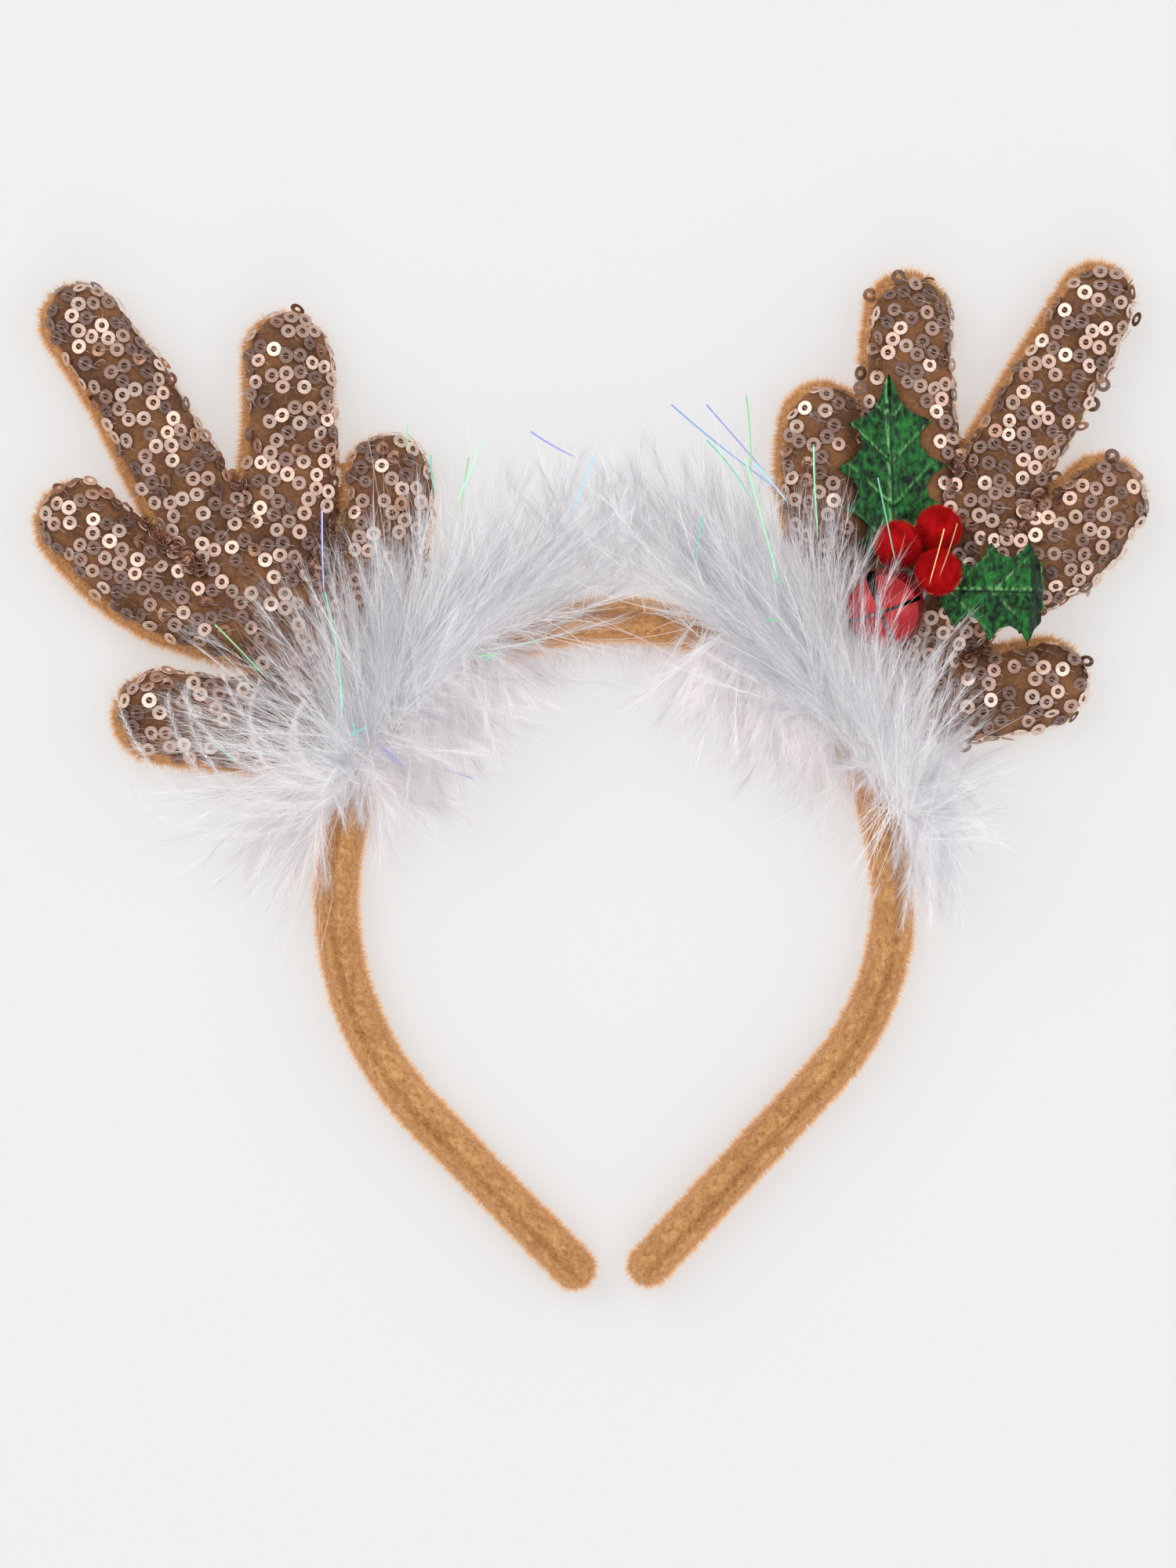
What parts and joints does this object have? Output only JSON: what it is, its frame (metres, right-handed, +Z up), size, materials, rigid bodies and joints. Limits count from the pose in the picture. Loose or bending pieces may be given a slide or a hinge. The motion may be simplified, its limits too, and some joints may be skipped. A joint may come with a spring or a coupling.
{
  "type": "reindeer antler headband",
  "caption": "Plush-covered headband with stuffed sequin reindeer antlers, a fluffy feather trim, and a holly sprig with felt berries and a jingle bell, lying on its back",
  "frame": {"origin": "under the middle of the whole headband's box, on the surface that it lies on", "axes": "+Z up from that surface, towards the front of the headband; +Y from the band's tips to the antlers' tips; +X to the antler that carries the holly"},
  "size_m": [0.2406, 0.222, 0.0362],
  "materials": {
    "plush_tan": "short velour pile",
    "sequin_cloth": "brown cloth with sewn ring sequins",
    "feather": "white down with iridescent strands",
    "holly_foil": "embossed foil film with glitter",
    "berry_felt": "clipped fuzzy pompom",
    "bell_red": "glossy lacquer on thin sheet metal",
    "pellet_steel": "plain steel ball"
  },
  "bodies": {
    "root": {"band": "plush_tan", "antler_left_face": "sequin_cloth", "antler_left_back": "plush_tan", "antler_right_face": "sequin_cloth", "antler_right_back": "plush_tan", "feather_trim": "feather", "holly_leaf_upright": "holly_foil", "holly_leaf_folded": "holly_foil", "berry_lower": "berry_felt", "berry_left": "berry_felt", "berry_top": "berry_felt", "jingle_bell": "bell_red", "bell_pellet": "pellet_steel"}
  },
  "joints": []
}
